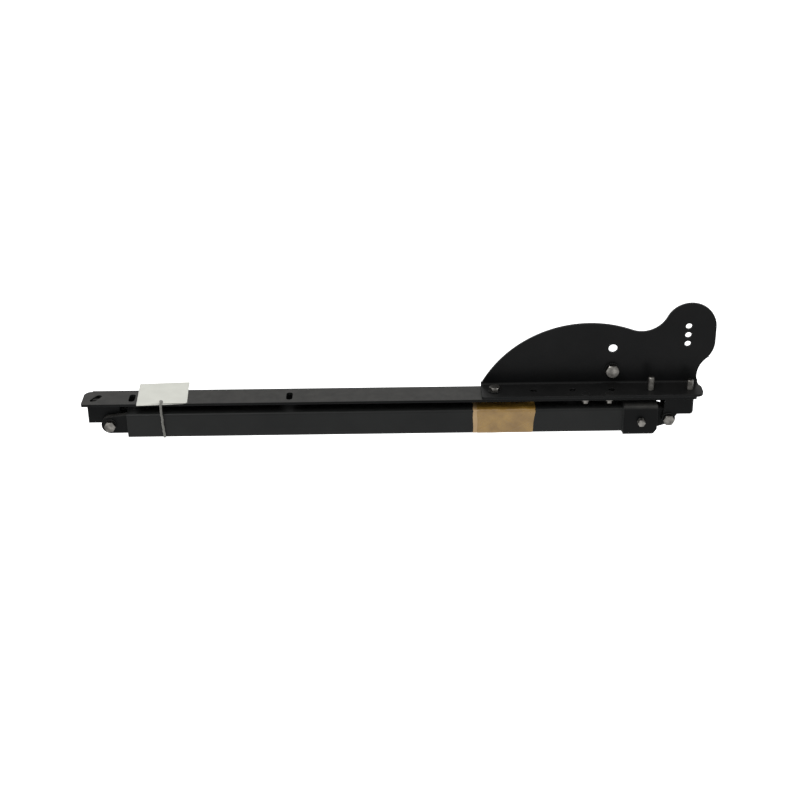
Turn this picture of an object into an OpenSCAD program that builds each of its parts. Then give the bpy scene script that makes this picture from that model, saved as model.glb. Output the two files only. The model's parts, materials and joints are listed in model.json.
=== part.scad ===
// Articulated gate opener arm, folded flat.
//
// A bent crank plate carries a long upper arm, stiffened by a rear rail. At
// its far end an elbow joins it to a square-tube lower arm, which lies folded
// under it. A telescoping extension slides out of the lower arm's clamp
// collar and ends in a tongue with a swinging gate bracket.
//
// Frame: the origin is the middle operator hole, on the crank plate's front
// face. +X runs along the arm towards the operator end, +Y runs through the
// plate away from the arm, and +Z is up.

/* [Crank plate] */
// Thickness of the bent crank plate
plate_t = 5; // [4:0.5:8]
// Height of the middle operator hole above the flange
hole_rise = 98; // [90:1:130]
// Reach of the plate from the operator holes to its far tip
plate_reach = 391; // [380:1:470]
// Radius of the long sweep along the plate's top edge
sweep_r = 230; // [220:1:260]
// Depth of the sweep's centre below the flange
sweep_drop = 106; // [100:1:120]
// Radius of the ear round the operator holes
ear_r = 49; // [44:1:56]
// Height of the straight side of the ear
ear_side = 30; // [20:1:50]
// Radius of the hollow between sweep and ear
blend_r = 51; // [40:1:60]
// Radius of the hollow neck under the ear
neck_r = 46; // [38:1:46]
// Inside radius of the plate's bend
bend_r = 4; // [2:0.5:6]
// How far the flange runs past the operator holes
flange_past = 28; // [24:1:40]
// Radius of the flange's front corner at the operator end
flange_tip_r = 14; // [6:1:20]

/* [Operator holes] */
// Diameter of the operator holes
op_hole_d = 12; // [8:0.5:16]
// Distance between the operator holes
op_pitch = 18; // [17:0.5:26]
// Diameter of the open hub hole
hub_hole_d = 17; // [12:0.5:22]
// Distance of the hub holes from the operator holes
hub_x = 141; // [120:1:190]
// Depth of the open hub hole below the middle operator hole
hub_drop = 26; // [10:1:34]
// Distance from the open hub hole down to the hub bolt
hub_pitch = 44; // [40:1:50]

/* [Flange fixings] */
// Number of holes along the flange
row_count = 6; // [4:1:6]
// Distance between the holes along the flange
row_pitch = 74; // [60:1:76]
// How far the first hole is past the operator holes
row_past = 4; // [2:1:10]
// Diameter of the flange holes
row_hole_d = 13; // [12.5:0.1:15]
// Height of the cover stud above the flange
stud_rise = 26; // [15:1:60]
// Height of the short stud above the flange
short_rise = 19; // [10:1:40]
// Distance between the two countersunk screws
csk_pitch = 45; // [34:1:60]
// Distance of the first countersunk screw from the operator holes
csk_x = 150; // [146:1:160]

/* [Upper arm] */
// Length of the upper arm
arm_length = 1164; // [900:1:1500]
// How far the arm runs past the operator holes
arm_past = 15; // [10:1:20]
// Width of the arm's flat top in front of the crank plate
arm_w = 55; // [55:1:70]
// Thickness of the arm's steel
arm_t = 5; // [4:0.5:7]
// Height of the rear rail over all
rail_h = 34.5; // [24:0.5:34.5]
// Width of the cross slots
slot_w = 12; // [8:1:16]
// Length of the cross slots
slot_l = 30; // [20:1:36]

/* [Elbow] */
// Distance of the elbow pivot from the arm's end
elbow_inset = 52; // [48:1:70]
// Thickness of the ear under the arm
lug_t = 12; // [8:1:14]
// Radius of the ear round the pivot
lug_r = 18; // [14:1:19]
// Thickness of each fork cheek
cheek_t = 12; // [8:1:14]
// Radius of the fork cheeks round the pivot
cheek_r = 17; // [13:1:19]
// Diameter of the elbow and gate pivot bolts
pivot_d = 12; // [10:1:14]
// Wall of the plain bushes
bush_wall = 2; // [1.5:0.5:3]

/* [Lower arm] */
// Side of the lower arm's square tube
tube = 50; // [46:1:60]
// Wall of the lower arm's tube
tube_wall = 3; // [2:0.5:3.5]
// Gap between the folded arms
fold_gap = 16; // [15:1:30]
// Length of the clamp collar
collar_l = 64; // [50:1:90]
// Wall of the clamp collar
collar_wall = 4.7; // [3:0.1:6]
// Diameter of the clamp screw
clamp_d = 8; // [6:1:10]
// Width of the paper wrap along the tube
wrap_w = 118; // [60:1:160]
// Distance of the paper wrap from the operator holes
wrap_x = 290; // [200:1:400]

/* [Extension and gate bracket] */
// Side of the extension tube
ext = 40; // [34:0.5:40.5]
// Wall of the extension tube
ext_wall = 3; // [2:0.5:4]
// How far the extension slides out
ext_travel = 250; // [100:5:400]
// Length of the guide liner
liner_l = 60; // [40:1:80]
// Distance of the gate pivot from the operator holes
gate_x0 = 37; // [34:1:45]
// Radius of the tongue and the bracket round the gate pivot
tongue_r = 13; // [12:0.5:15]
// Thickness of the tongue
tongue_t = 30; // [20:1:32]
// Thickness of the bracket's steel
bracket_t = 6; // [4:0.5:7]
// Reach of the bracket from the gate pivot to its bolting face
bracket_reach = 47; // [44:1:60]
// Diameter of the bracket's bolt holes
gate_hole_d = 9; // [6:0.5:10]
// Distance between the bracket's bolt holes
gate_pitch = 20; // [18:1:24]

/* [Hang tag] */
// Width of the tag along the arm
tag_w = 96; // [60:1:120]
// Depth of the tag across the arm
tag_d = 92; // [60:1:110]
// Distance of the tag from the arm's end
tag_inset = 103; // [103:1:140]
// Turn of the tag on the arm, in degrees
tag_turn = 3.5; // [0:0.5:5]
// Thickness of the tag's card
tag_t = 0.8; // [0.5:0.1:2]
// Diameter of the tag's string
string_d = 4.5; // [3:0.1:4.6]

/* [Hidden] */
$fn = 64;
eps = 0.01;

// Clearances
pin_clear = 0.05;     // round a fixed pin or in a running bore, on the radius
bush_seat = 0.03;     // round a pressed bush, on the radius
slide_clear = 0.2;    // between sliding square sections, on each side
plug_clear = 0.2;     // round a plug in a tube, on each side
collar_clear = 0.3;   // between collar and tube, on each side
turn_gap = 0.1;       // beside a washer that something turns against
swing_gap = 1;        // between the bracket's top and the arm
rail_clear = 7;       // between the lower tube and the arm's rear rail

// Paint and metal
c_plate = [0.13, 0.13, 0.14];
c_arm = [0.17, 0.17, 0.18];
c_tube = [0.20, 0.20, 0.21];
c_zinc = [0.62, 0.61, 0.58];
c_bronze = [0.62, 0.47, 0.25];
c_nylon = [0.88, 0.88, 0.84];
c_card = [0.86, 0.86, 0.82];
c_twine = [0.42, 0.41, 0.37];
c_kraft = [0.62, 0.52, 0.38];

// Metric fasteners by thread size: spanner size, head, nut and thin nut
function spanner(d) = d <= 8 ? 13 : d <= 10 ? 17 : d <= 12 ? 19 : d <= 14 ? 21 : 24;
function head_h(d) = 0.63 * d;
function nut_h(d) = 0.83 * d;
function thin_nut_h(d) = 0.5 * d;
function washer_d(d) = 1.9 * d + 1.2;
washer_t = 2;
thread_past = 3;      // bolt showing past a nut
row_d = 12;           // thread of the flange bolts and the stud
csk_d = 8;            // thread of the countersunk screws
hub_d = 16;           // thread of the hub bolt
roll_d = 6;           // diameter of the roll pins

// Heights, from the flange down
flange_z = -hole_rise;
arm_top = flange_z - plate_t;
arm_under = arm_top - arm_t;
tube_top = arm_under - fold_gap;
tube_mid = tube_top - tube / 2;

// Depths: the arm's front edge and the middle of the tubes
front_y = -arm_w;
tube_y = -rail_clear - tube / 2;
row_y = -arm_w / 2 - 1.5;
csk_y = front_y + 10;

// Lengths along the arm
arm_right = arm_past;
arm_left = arm_right - arm_length;
elbow_x = arm_left + elbow_inset;
tube_left = elbow_x + 33;
gate_x = -gate_x0;
ext_right = gate_x - 20;
collar_right = ext_right - 2;
collar_left = collar_right - collar_l;
tube_right = collar_right - 3;
clamp_x = collar_right - 31;
collar_out = tube + 2 * (collar_clear + collar_wall);
ext_l = ext_travel + liner_l + 10;
ext_left = ext_right - ext_l;
tag_left = arm_left + tag_inset;
row_x = [for (i = [0:row_count - 1]) row_past - i * row_pitch];
bolt_x = row_x[row_count - 1];
stud_x = row_x[1];
hub_bolt_z = -hub_drop - hub_pitch;
slot_x = [arm_left + 94, arm_left + 393];
slant_x = arm_left + 25;
arm_end_r = 14;
fork_pin_x = [tube_left + 12, tube_left + 36];
tongue_pin_x = [ext_right - 14, ext_right - 34];
fork_slot = lug_t + 2;
fork_w = fork_slot + 2 * cheek_t;
bracket_gap = tongue_t + 2;
bracket_w = bracket_gap + 2 * bracket_t;
bracket_top = arm_under - swing_gap;
bush_r = pivot_d / 2 + pin_clear + bush_wall;

// The tag's string: over the tag's front edge and down past the lower arm
STRING_ROUTE = [
    [-997, -52, -99.8], [-997, -55, -99.7], [-997, -57, -99.7], [-997, -58.3, -100],
    [-997, -59.3, -100.7], [-997, -60, -101.7], [-997, -60.3, -103], [-997, -60.5, -106],
    [-997, -60.8, -110], [-997, -61, -116], [-997, -61, -123], [-996, -61, -130],
    [-996, -61, -137], [-996, -61, -144], [-995, -61, -151], [-995, -61, -158],
    [-994, -61, -165], [-994, -61, -171]
];

// ---- Shared shapes ----

// Draws a flat shape in X and Z, from depth y0 and t thick
module upright(y0, t)
    translate([0, y0 + t, 0]) rotate([90, 0, 0]) linear_extrude(t) children();

// Draws a flat shape in Y and Z, from x0 to x1
module along_x(x0, x1)
    translate([x0, 0, 0]) rotate([90, 0, 90]) linear_extrude(x1 - x0) children();

// Turns an upward part so that its head faces the front, at a point
module facing_front(at)
    translate(at) rotate([90, 0, 0]) children();

// A rectangle with round corners, from its low corner
module rounded(size, r) {
    translate([r, 0]) square([size[0] - 2 * r, size[1]]);
    translate([0, r]) square([size[0], size[1] - 2 * r]);
    for (x = [r, size[0] - r], y = [r, size[1] - r])
        translate([x, y]) circle(r);
}

// A square section with round corners, centred
module rounded_square(side, r)
    translate([-side / 2, -side / 2]) rounded([side, side], r);

// A square tube along X, round the line y, z
module square_tube(x0, x1, side, wall, y, z, r)
    along_x(x0, x1) translate([y, z]) difference() {
        rounded_square(side, r);
        rounded_square(side - 2 * wall, r > wall ? r - wall : 0.5);
    }

// An obround slot through z0 to z1, turned by angle
module slot(x, y, z0, z1, angle = 0)
    translate([x, y, z0]) rotate([0, 0, angle]) linear_extrude(z1 - z0) {
        square([slot_w, slot_l - slot_w], center = true);
        for (s = [-1, 1])
            translate([0, s * (slot_l - slot_w) / 2]) circle(slot_w / 2);
    }

// A hexagon with chamfered corners, standing on z = 0
module hexagon(af, h) {
    corner = af / cos(30) / 2;
    intersection() {
        cylinder(r = corner, h = h, $fn = 6);
        union() {
            cylinder(r = corner + eps, h = h * 0.82);
            translate([0, 0, h * 0.82])
                cylinder(r1 = corner + eps, r2 = af / 2 * 0.97, h = h * 0.18);
        }
    }
}

// A hexagon-headed bolt: the head on z = 0, the shank below it
module hex_bolt(d, length) {
    hexagon(spanner(d), head_h(d));
    translate([0, 0, -length]) cylinder(d = d, h = length);
}

// A nut for thread d, standing on z = 0
module hex_nut(d, h)
    difference() {
        hexagon(spanner(d), h);
        translate([0, 0, -1]) cylinder(r = d / 2 + pin_clear, h = h + 2);
    }

// A washer for thread d, standing on z = 0
module washer(d, outer, t)
    difference() {
        cylinder(d = outer, h = t);
        translate([0, 0, -1]) cylinder(r = d / 2 + pin_clear, h = t + 2);
    }

// A plain bush along Y, centred on a point
module bush(at, length)
    facing_front(at + [0, length / 2, 0]) difference() {
        cylinder(r = bush_r, h = length);
        translate([0, 0, -1]) cylinder(r = pivot_d / 2 + pin_clear, h = length + 2);
    }

// A round hole along Y at x, z, through y0 to y1
module hole_y(x, z, r, y0, y1)
    facing_front([x, y1, z]) cylinder(r = r, h = y1 - y0);

// A round hole along Z at x, y, through z0 to z1
module hole_z(x, y, r, z0, z1)
    translate([x, y, z0]) cylinder(r = r, h = z1 - z0);

// The point where a line from p touches a circle of radius r round the
// origin, on the side that turn gives
function touch(p, r, turn) =
    let (a = atan2(p[1], p[0]) + turn * acos(r / norm(p)))
    [r * cos(a), r * sin(a)];

// The centre of a circle that is da from a and db from b, above the line
function meet(a, da, b, db) =
    let (d = b - a, l = norm(d), k = (da * da - db * db + l * l) / (2 * l),
         h = sqrt(da * da - k * k), u = d / l)
    a + k * u + h * [-u[1], u[0]];

// The waste outside a round corner of radius r, for a corner at the origin
// with the solid on its low side in X and its high side in Y
module corner_waste(r)
    difference() {
        translate([-r, -1]) square([r + 1, r + 1]);
        translate([-r, r]) circle(r);
    }

// ---- Crank plate and upper arm ----

sweep_c = [-plate_reach + sqrt(sweep_r * sweep_r - sweep_drop * sweep_drop), flange_z - sweep_drop];
ear_hi = [3, ear_side / 2 + 1];
ear_lo = [3, ear_hi[1] - ear_side];
blend_c = meet(sweep_c, sweep_r + blend_r, ear_hi, ear_r + blend_r);
neck_z = flange_z + 14;
neck_c = [ear_lo[0] + sqrt(pow(ear_r + neck_r, 2) - pow(ear_lo[1] - neck_z, 2)), neck_z];
neck_x = neck_c[0] - sqrt(neck_r * neck_r - pow(neck_z - flange_z, 2));
bend_top = flange_z + bend_r;

// The upright plate's outline, down to the top of its bend
module plate_outline()
    difference() {
        union() {
            intersection() {
                translate(sweep_c) circle(sweep_r, $fn = 180);
                translate([-plate_reach - 5, bend_top]) square([plate_reach, 400]);
            }
            translate(ear_hi) circle(ear_r);
            translate(ear_lo) circle(ear_r);
            translate([ear_hi[0], ear_lo[1]]) square([ear_r, ear_side]);
            polygon([sweep_c, blend_c, ear_hi, neck_c, [neck_x + 2, bend_top]]);
        }
        translate(blend_c) circle(blend_r);
        translate(neck_c) circle(neck_r);
        translate([-plate_reach - 10, bend_top - 400]) square([plate_reach + 200, 400]);
    }

// The bent corner between plate and flange, seen from its end
module bend_section()
    intersection() {
        difference() {
            translate([-bend_r, bend_top]) circle(bend_r + plate_t);
            translate([-bend_r, bend_top]) circle(bend_r);
        }
        translate([-bend_r, bend_top - bend_r - plate_t - 1]) square([bend_r + plate_t + 1, bend_r + plate_t + 1]);
    }

// The flange, seen from above: its free end runs past the neck
module flange_plan() {
    corner = 5;
    difference() {
        translate([-plate_reach, front_y]) rounded([plate_reach + flange_past, arm_w - bend_r - 12], corner);
        translate([flange_past, front_y]) corner_waste(flange_tip_r);
    }
    translate([-plate_reach, front_y + corner]) square([plate_reach + neck_x, arm_w - bend_r - corner]);
    polygon([
        [neck_x - 1, -bend_r], [neck_x, -bend_r], [flange_past - 4, -bend_r - 8],
        [flange_past, -bend_r - 16], [flange_past, -bend_r - 20], [neck_x - 1, -bend_r - 20]
    ]);
}

module crank_plate() {
    color(c_plate) difference() {
        union() {
            upright(0, plate_t) plate_outline();
            along_x(-plate_reach, neck_x) bend_section();
            translate([0, 0, arm_top]) linear_extrude(plate_t) flange_plan();
        }
        for (i = [-1:1])
            hole_y(0, i * op_pitch, op_hole_d / 2, -1, plate_t + 1);
        hole_y(-hub_x, -hub_drop, hub_hole_d / 2, -1, plate_t + 1);
        hole_y(-hub_x, hub_bolt_z, hub_d / 2 + pin_clear, -1, plate_t + 1);
        for (x = row_x)
            hole_z(x, row_y, row_hole_d / 2, arm_top - 1, flange_z + 1);
        for (i = [0:1])
            translate([-csk_x - i * csk_pitch, csk_y, 0]) {
                hole_z(0, 0, csk_d / 2 + pin_clear, arm_top - 1, flange_z + 1);
                translate([0, 0, flange_z - csk_d / 2])
                    cylinder(r1 = csk_d / 2 + pin_clear, r2 = csk_d + pin_clear, h = csk_d / 2 + eps);
            }
    }
}

// The arm's flat top, with its holes and slots
module upper_arm() {
    color(c_arm) difference() {
        translate([arm_left, front_y, arm_under]) linear_extrude(arm_t) difference() {
            rounded([arm_length, arm_w], 5);
            translate([0, arm_w]) mirror([0, 1]) mirror([1, 0]) corner_waste(arm_end_r);
        }
        for (x = row_x)
            hole_z(x, row_y, x == row_x[0] ? row_d / 2 + pin_clear : row_hole_d / 2, arm_under - 1, arm_top + 1);
        for (i = [0:1])
            hole_z(-csk_x - i * csk_pitch, csk_y, csk_d / 2 + pin_clear, arm_under - 1, arm_top + 1);
        for (x = slot_x)
            slot(x, row_y, arm_under - 1, arm_top + 1);
        slot(slant_x, row_y, arm_under - 1, arm_top + 1, -28);
    }
}

// The bar welded along the arm's rear edge, which stiffens it
module rear_rail()
    color(c_arm) along_x(arm_left + arm_end_r, arm_right) polygon([
        [0, arm_top - rail_h], [arm_t, arm_top - rail_h], [arm_t, arm_top - 2], [arm_t - 2, arm_top], [0, arm_top]
    ]);

// The ear under the arm's end, with the pivot bore
module elbow_lug() {
    foot = tube_mid - 1;
    inset = 9;
    color(c_arm) difference() {
        upright(tube_y - lug_t / 2, lug_t) {
            translate([elbow_x, tube_mid]) circle(lug_r);
            translate([arm_left + inset, foot]) square([elbow_x - arm_left - inset, arm_under - foot]);
            translate([elbow_x - 1, tube_mid]) square([lug_r + 1, arm_under - tube_mid]);
        }
        hole_y(elbow_x, tube_mid, bush_r + bush_seat, tube_y - lug_t, tube_y + lug_t);
    }
}

module elbow_bush()
    color(c_bronze) bush([elbow_x, tube_y, tube_mid], lug_t);

// The bolt through flange and arm at the plate's far tip
module flange_bolt()
    color(c_zinc) translate([bolt_x, row_y, flange_z + washer_t])
        hex_bolt(row_d, 2 * washer_t + plate_t + arm_t + thin_nut_h(row_d) + 1);

module flange_washers()
    color(c_zinc) for (z = [flange_z, arm_under - washer_t])
        translate([bolt_x, row_y, z]) washer(row_d, washer_d(row_d), washer_t);

module flange_nut()
    color(c_zinc) translate([bolt_x, row_y, arm_under - washer_t - thin_nut_h(row_d)])
        hex_nut(row_d, thin_nut_h(row_d));

// A plain stud through arm and flange, with a chamfered end
module stud(x, rise) {
    length = arm_t + plate_t + rise;
    translate([x, row_y, arm_under]) {
        cylinder(d = row_d, h = length - 1);
        translate([0, 0, length - 1]) cylinder(d1 = row_d, d2 = row_d - 2, h = 1);
    }
}

// The tall stud, with a head under the arm
module cover_stud()
    color(c_zinc) {
        stud(stud_x, stud_rise);
        translate([stud_x, row_y, arm_under]) mirror([0, 0, 1]) hexagon(spanner(row_d), head_h(row_d));
    }

// The short stud, screwed into the arm over the gate bracket
module short_stud()
    color(c_zinc) stud(row_x[0], short_rise);

module countersunk_screws()
    color(c_plate) for (i = [0:1])
        translate([-csk_x - i * csk_pitch, csk_y, flange_z]) {
            translate([0, 0, -csk_d / 2]) cylinder(r1 = csk_d / 2, r2 = csk_d, h = csk_d / 2);
            hole_z(0, 0, csk_d / 2, -plate_t - arm_t - csk_d - 1, -csk_d / 2);
        }

// Flanged nuts under the arm
module countersunk_nuts() {
    flange_t = 2.5;
    color(c_zinc) for (i = [0:1])
        translate([-csk_x - i * csk_pitch, csk_y, arm_under - csk_d]) difference() {
            union() {
                hexagon(spanner(csk_d), csk_d);
                translate([0, 0, csk_d - flange_t]) cylinder(d = 2.3 * csk_d, h = flange_t);
            }
            translate([0, 0, -1]) cylinder(r = csk_d / 2 + pin_clear, h = csk_d + 2);
        }
}

module hub_bolt()
    color(c_zinc) facing_front([-hub_x, -washer_t, hub_bolt_z])
        hex_bolt(hub_d, 2 * washer_t + plate_t + nut_h(hub_d) + thread_past);

module hub_washers()
    color(c_zinc) for (y = [0, plate_t + washer_t])
        facing_front([-hub_x, y, hub_bolt_z]) washer(hub_d, hub_d + 12, washer_t);

module hub_nut()
    color(c_zinc) facing_front([-hub_x, plate_t + washer_t + nut_h(hub_d), hub_bolt_z])
        hex_nut(hub_d, nut_h(hub_d));

// ---- Hang tag ----

module hang_tag()
    color(c_card) translate([tag_left + tag_w / 2, front_y - 2 + tag_d / 2, arm_top])
        rotate([0, 0, tag_turn]) translate([-tag_w / 2, -tag_d / 2, 0])
            linear_extrude(tag_t) rounded([tag_w, tag_d], 2);

// A tube swept along the string's route: a ring of eight points at each
// point, square to the way the route runs there
module tag_string() {
    sides = 8;
    n = len(STRING_ROUTE);
    ways = [for (i = [0:n - 1]) STRING_ROUTE[min(i + 1, n - 1)] - STRING_ROUTE[max(i - 1, 0)]];
    rings = [for (i = [0:n - 1])
        let (t = ways[i] / norm(ways[i]), s = [1, 0, 0] - t[0] * t, u = s / norm(s), v = cross(t, u))
        [for (k = [0:sides - 1])
            STRING_ROUTE[i] + string_d / 2 * (cos(k * 360 / sides) * u + sin(k * 360 / sides) * v)]];
    points = [for (ring = rings) each ring];
    walls = [for (i = [0:n - 2], k = [0:sides - 1])
        let (a = i * sides + k, b = i * sides + (k + 1) % sides)
        [a, a + sides, b + sides, b]];
    near = [for (k = [0:sides - 1]) k];
    far = [for (k = [0:sides - 1]) n * sides - 1 - k];
    color(c_twine) polyhedron(points, concat([near], walls, [far]));
}

// ---- Lower arm ----

module lower_tube()
    color(c_tube) difference() {
        square_tube(tube_left, tube_right, tube, tube_wall, tube_y, tube_mid, 5);
        for (x = fork_pin_x)
            hole_z(x, tube_y, roll_d / 2 + pin_clear, tube_top - tube - 1, tube_top + 1);
        hole_y(clamp_x, tube_mid, clamp_d / 2 + pin_clear, tube_y - tube / 2 - 1, tube_y - tube / 2 + tube_wall + 2);
    }

// A block plugged into the tube, with two cheeks round the elbow ear
module elbow_fork() {
    plug = tube - 2 * tube_wall - 2 * plug_clear;
    color(c_arm) difference() {
        union() {
            along_x(tube_left, tube_left + 48) translate([tube_y, tube_mid]) rounded_square(plug, 2);
            upright(tube_y - fork_w / 2, fork_w) {
                translate([elbow_x, tube_mid]) circle(cheek_r);
                polygon([
                    [elbow_x, tube_mid - cheek_r], [tube_left + 1, tube_mid - cheek_r],
                    [tube_left + 1, tube_mid + cheek_r + 4], [elbow_x, tube_mid + cheek_r]
                ]);
            }
        }
        translate([elbow_x - cheek_r - 1, tube_y - fork_slot / 2, tube_mid - tube / 2])
            cube([tube_left - elbow_x + cheek_r + 1, fork_slot, tube]);
        hole_y(elbow_x, tube_mid, pivot_d / 2 + pin_clear, tube_y - tube / 2, tube_y + tube / 2);
        for (x = fork_pin_x)
            hole_z(x, tube_y, roll_d / 2 + pin_clear, tube_top - tube, tube_top);
    }
}

module fork_pins()
    color(c_zinc) for (x = fork_pin_x)
        hole_z(x, tube_y, roll_d / 2, tube_top - tube + 0.5, tube_top - 0.5);

module elbow_bolt()
    color(c_zinc) facing_front([elbow_x, tube_y - fork_w / 2 - washer_t, tube_mid])
        hex_bolt(pivot_d, fork_w + 2 * washer_t + nut_h(pivot_d) + thread_past);

module elbow_washers()
    color(c_zinc) for (y = [tube_y - fork_w / 2, tube_y + fork_w / 2 + washer_t])
        facing_front([elbow_x, y, tube_mid]) washer(pivot_d, washer_d(pivot_d), washer_t);

module elbow_spacers()
    color(c_nylon) for (y = [tube_y - lug_t / 2 - turn_gap, tube_y + fork_slot / 2])
        facing_front([elbow_x, y, tube_mid])
            washer(pivot_d, washer_d(pivot_d), (fork_slot - lug_t) / 2 - turn_gap);

module elbow_nut()
    color(c_zinc) facing_front([elbow_x, tube_y + fork_w / 2 + washer_t + nut_h(pivot_d), tube_mid])
        hex_nut(pivot_d, nut_h(pivot_d));

// The collar that stiffens the tube's mouth, cut away for the bracket's swing
module clamp_collar() {
    foot = tube_mid - collar_out / 2;
    color(c_tube) difference() {
        along_x(collar_left, collar_right) translate([tube_y, tube_mid]) difference() {
            rounded_square(collar_out, 6);
            rounded_square(tube + 2 * collar_clear, 5);
        }
        upright(tube_y - collar_out, 2 * collar_out)
            polygon([[collar_right - 9, foot - 1], [collar_right + 1, foot - 1], [collar_right + 1, foot + 14]]);
        hole_y(clamp_x, tube_mid, clamp_d / 2 + pin_clear, tube_y - collar_out / 2 - 1, tube_y - tube / 2 + 1);
    }
}

// The clamp screw runs through collar and tube to the extension
module clamp_screw() {
    seat_y = tube_y - collar_out / 2 - thin_nut_h(clamp_d) - 2;
    color(c_zinc) facing_front([clamp_x, seat_y, tube_mid])
        hex_bolt(clamp_d, tube_y - ext / 2 - turn_gap - seat_y);
}

module clamp_nut()
    color(c_zinc) facing_front([clamp_x, tube_y - collar_out / 2, tube_mid])
        hex_nut(clamp_d, thin_nut_h(clamp_d));

// A sleeve that the extension slides in, with a lip on the tube's end
module guide_liner() {
    bore = tube - 2 * tube_wall;
    color(c_nylon) difference() {
        union() {
            along_x(tube_right - liner_l, tube_right) translate([tube_y, tube_mid]) rounded_square(bore, 2);
            along_x(tube_right, tube_right + 2) translate([tube_y, tube_mid]) rounded_square(tube, 5);
        }
        along_x(tube_right - liner_l - 1, tube_right + 3) translate([tube_y, tube_mid])
            rounded_square(ext + 2 * slide_clear, 4);
        hole_y(clamp_x, tube_mid, clamp_d / 2 + 0.5, tube_y - tube / 2, tube_y);
    }
}

module paper_wrap()
    color(c_kraft) square_tube(-wrap_x - wrap_w, -wrap_x, tube + 1.2, 0.6, tube_y, tube_mid, 5.6);

// ---- Extension and gate bracket ----

module extension_tube()
    color(c_tube) difference() {
        square_tube(ext_left, ext_right, ext, ext_wall, tube_y, tube_mid, 4);
        for (x = tongue_pin_x)
            hole_z(x, tube_y, roll_d / 2 + pin_clear, tube_mid - ext / 2 - 1, tube_mid + ext / 2 + 1);
    }

// A nylon foot on the extension's inner end
module inner_glide() {
    block = tube - 2 * tube_wall - 2 * slide_clear;
    spigot = ext - 2 * ext_wall - 2 * plug_clear;
    color(c_nylon) {
        along_x(ext_left - 20, ext_left) translate([tube_y, tube_mid]) rounded_square(block, 2);
        along_x(ext_left, ext_left + 20) translate([tube_y, tube_mid]) rounded_square(spigot, 1);
    }
}

// A plug with a tapered tongue, with the gate pivot's bore
module gate_tongue() {
    plug = ext - 2 * ext_wall - 2 * plug_clear;
    shoulder = [ext_right - gate_x, ext / 2];
    upper = touch(shoulder, tongue_r, -1);
    color(c_arm) difference() {
        union() {
            along_x(ext_right - 46, ext_right) translate([tube_y, tube_mid]) rounded_square(plug, 1);
            upright(tube_y - tongue_t / 2, tongue_t) translate([gate_x, tube_mid]) {
                circle(tongue_r);
                polygon([shoulder, upper, [upper[0], -upper[1]], [shoulder[0], -shoulder[1]]]);
            }
        }
        hole_y(gate_x, tube_mid, bush_r + bush_seat, tube_y - tongue_t, tube_y + tongue_t);
        for (x = tongue_pin_x)
            hole_z(x, tube_y, roll_d / 2 + pin_clear, tube_mid - ext / 2, tube_mid + ext / 2);
    }
}

module tongue_bush()
    color(c_bronze) bush([gate_x, tube_y, tube_mid], tongue_t);

module tongue_pins()
    color(c_zinc) for (x = tongue_pin_x)
        hole_z(x, tube_y, roll_d / 2, tube_mid - ext / 2 + 0.3, tube_mid + ext / 2 - 0.3);

module gate_spacers()
    color(c_nylon) for (y = [tube_y - tongue_t / 2 - turn_gap, tube_y + bracket_gap / 2])
        facing_front([gate_x, y, tube_mid])
            washer(pivot_d, washer_d(pivot_d), (bracket_gap - tongue_t) / 2 - turn_gap);

// A bent strap: two side plates on the pivot, and a bolting face across them
module gate_bracket() {
    top = bracket_top - tube_mid;
    face_foot = 10;
    bend = 8;
    color(c_arm) difference() {
        union() {
            facing_front([gate_x, tube_y + bracket_w / 2, tube_mid]) cylinder(r = tongue_r, h = bracket_w);
            upright(tube_y - bracket_w / 2, bracket_w) translate([gate_x, tube_mid]) difference() {
                polygon([
                    [2 - tongue_r, 2], [-8, top], [bracket_reach, top],
                    [bracket_reach, face_foot], [tongue_r + 3, face_foot], [tongue_r - 3, 1]
                ]);
                translate([bracket_reach, face_foot]) corner_waste(6);
            }
        }
        translate([gate_x - 30, tube_y - bracket_gap / 2, tube_mid - 30])
            cube([30 + bracket_reach - bracket_t, bracket_gap, 100]);
        for (s = [-1, 1])
            translate([gate_x + bracket_reach, tube_y + s * bracket_w / 2, tube_mid])
                mirror([0, s == 1 ? 1 : 0, 0]) linear_extrude(top + 1) corner_waste(bend);
        hole_y(gate_x, tube_mid, pivot_d / 2 + pin_clear, tube_y - bracket_w, tube_y + bracket_w);
        for (s = [-1, 1])
            translate([gate_x + bracket_reach - 2 * bracket_t, tube_y + s * gate_pitch / 2, tube_mid + (top + face_foot) / 2])
                rotate([0, 90, 0]) cylinder(d = gate_hole_d, h = 3 * bracket_t);
    }
}

module gate_bolt()
    color(c_zinc) facing_front([gate_x, tube_y - bracket_w / 2 - washer_t, tube_mid])
        hex_bolt(pivot_d, bracket_w + 2 * washer_t + nut_h(pivot_d) + thread_past);

module gate_washers()
    color(c_zinc) for (y = [tube_y - bracket_w / 2, tube_y + bracket_w / 2 + washer_t])
        facing_front([gate_x, y, tube_mid]) washer(pivot_d, washer_d(pivot_d), washer_t);

module gate_nut()
    color(c_zinc) facing_front([gate_x, tube_y + bracket_w / 2 + washer_t + nut_h(pivot_d), tube_mid])
        hex_nut(pivot_d, nut_h(pivot_d));

// ---- The assembly ----

crank_plate();
upper_arm();
rear_rail();
elbow_lug();
elbow_bush();
flange_bolt();
flange_washers();
flange_nut();
cover_stud();
short_stud();
countersunk_screws();
countersunk_nuts();
hub_bolt();
hub_washers();
hub_nut();
hang_tag();
tag_string();
lower_tube();
elbow_fork();
fork_pins();
elbow_bolt();
elbow_washers();
elbow_spacers();
elbow_nut();
clamp_collar();
clamp_screw();
clamp_nut();
guide_liner();
paper_wrap();
extension_tube();
inner_glide();
gate_tongue();
tongue_bush();
tongue_pins();
gate_spacers();
gate_bracket();
gate_bolt();
gate_washers();
gate_nut();
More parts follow.
